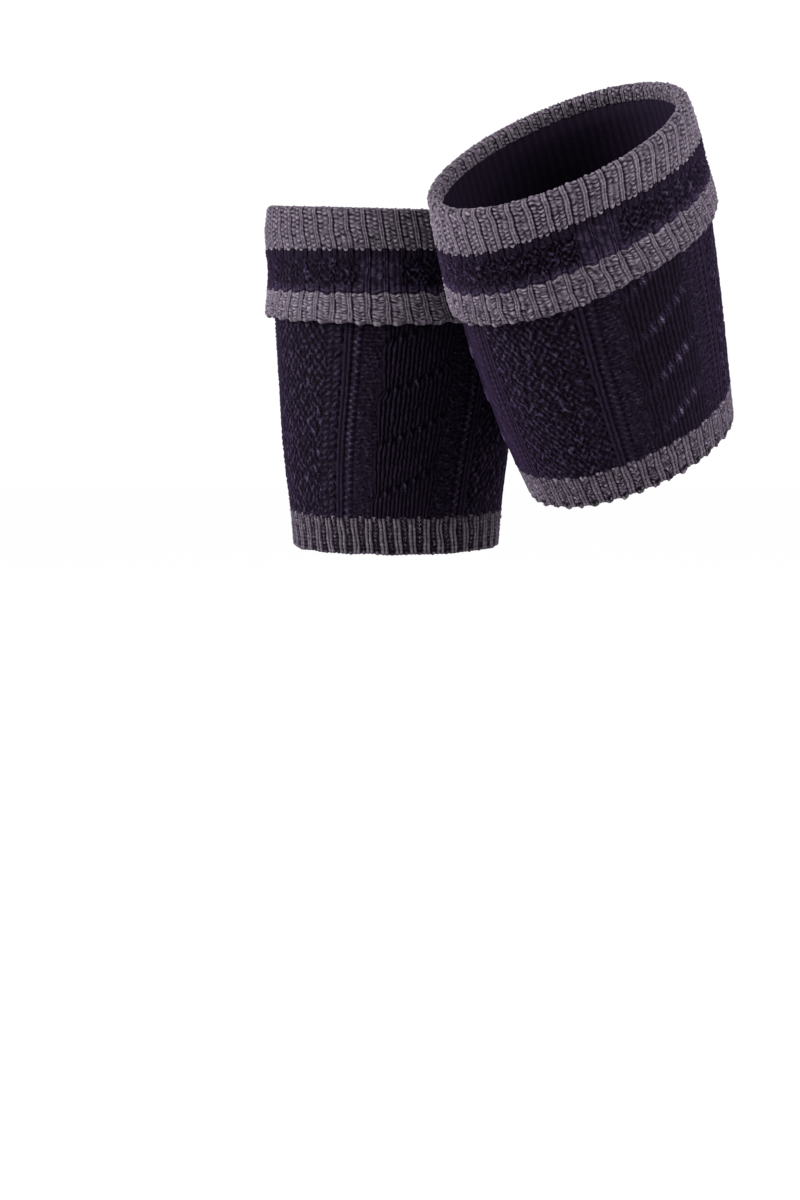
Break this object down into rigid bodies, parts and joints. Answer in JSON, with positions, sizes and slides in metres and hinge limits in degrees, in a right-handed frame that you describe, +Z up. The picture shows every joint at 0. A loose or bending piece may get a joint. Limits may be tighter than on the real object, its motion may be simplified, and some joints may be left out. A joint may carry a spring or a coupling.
{
  "type": "pair of calf warmers",
  "caption": "Knitted calf warmers in the shape they have when worn, upright and leaning: open cable-knit tubes with a ribbed hem and a turned-down striped cuff.",
  "frame": {"origin": "centre of the upright warmer's top opening, where it is held when worn", "axes": "+Z up along the upright warmer; -X the way its front faces, turned 10 degrees towards -Y; -Y towards the viewer of the picture"},
  "size_m": [0.2474, 0.253, 0.2451],
  "materials": {
    "grey_wool": "matt melange wool rib",
    "navy_wool": "matt dark wool knit"
  },
  "bodies": {
    "root": {"upright_hem_rib": "grey_wool", "upright_cable_tube": "navy_wool", "upright_cuff_fold_rib": "grey_wool", "upright_cuff_band": "navy_wool", "upright_cuff_edge_rib": "grey_wool", "leaning_hem_rib": "grey_wool", "leaning_cable_tube": "navy_wool", "leaning_cuff_fold_rib": "grey_wool", "leaning_cuff_band": "navy_wool", "leaning_cuff_edge_rib": "grey_wool"}
  },
  "joints": []
}
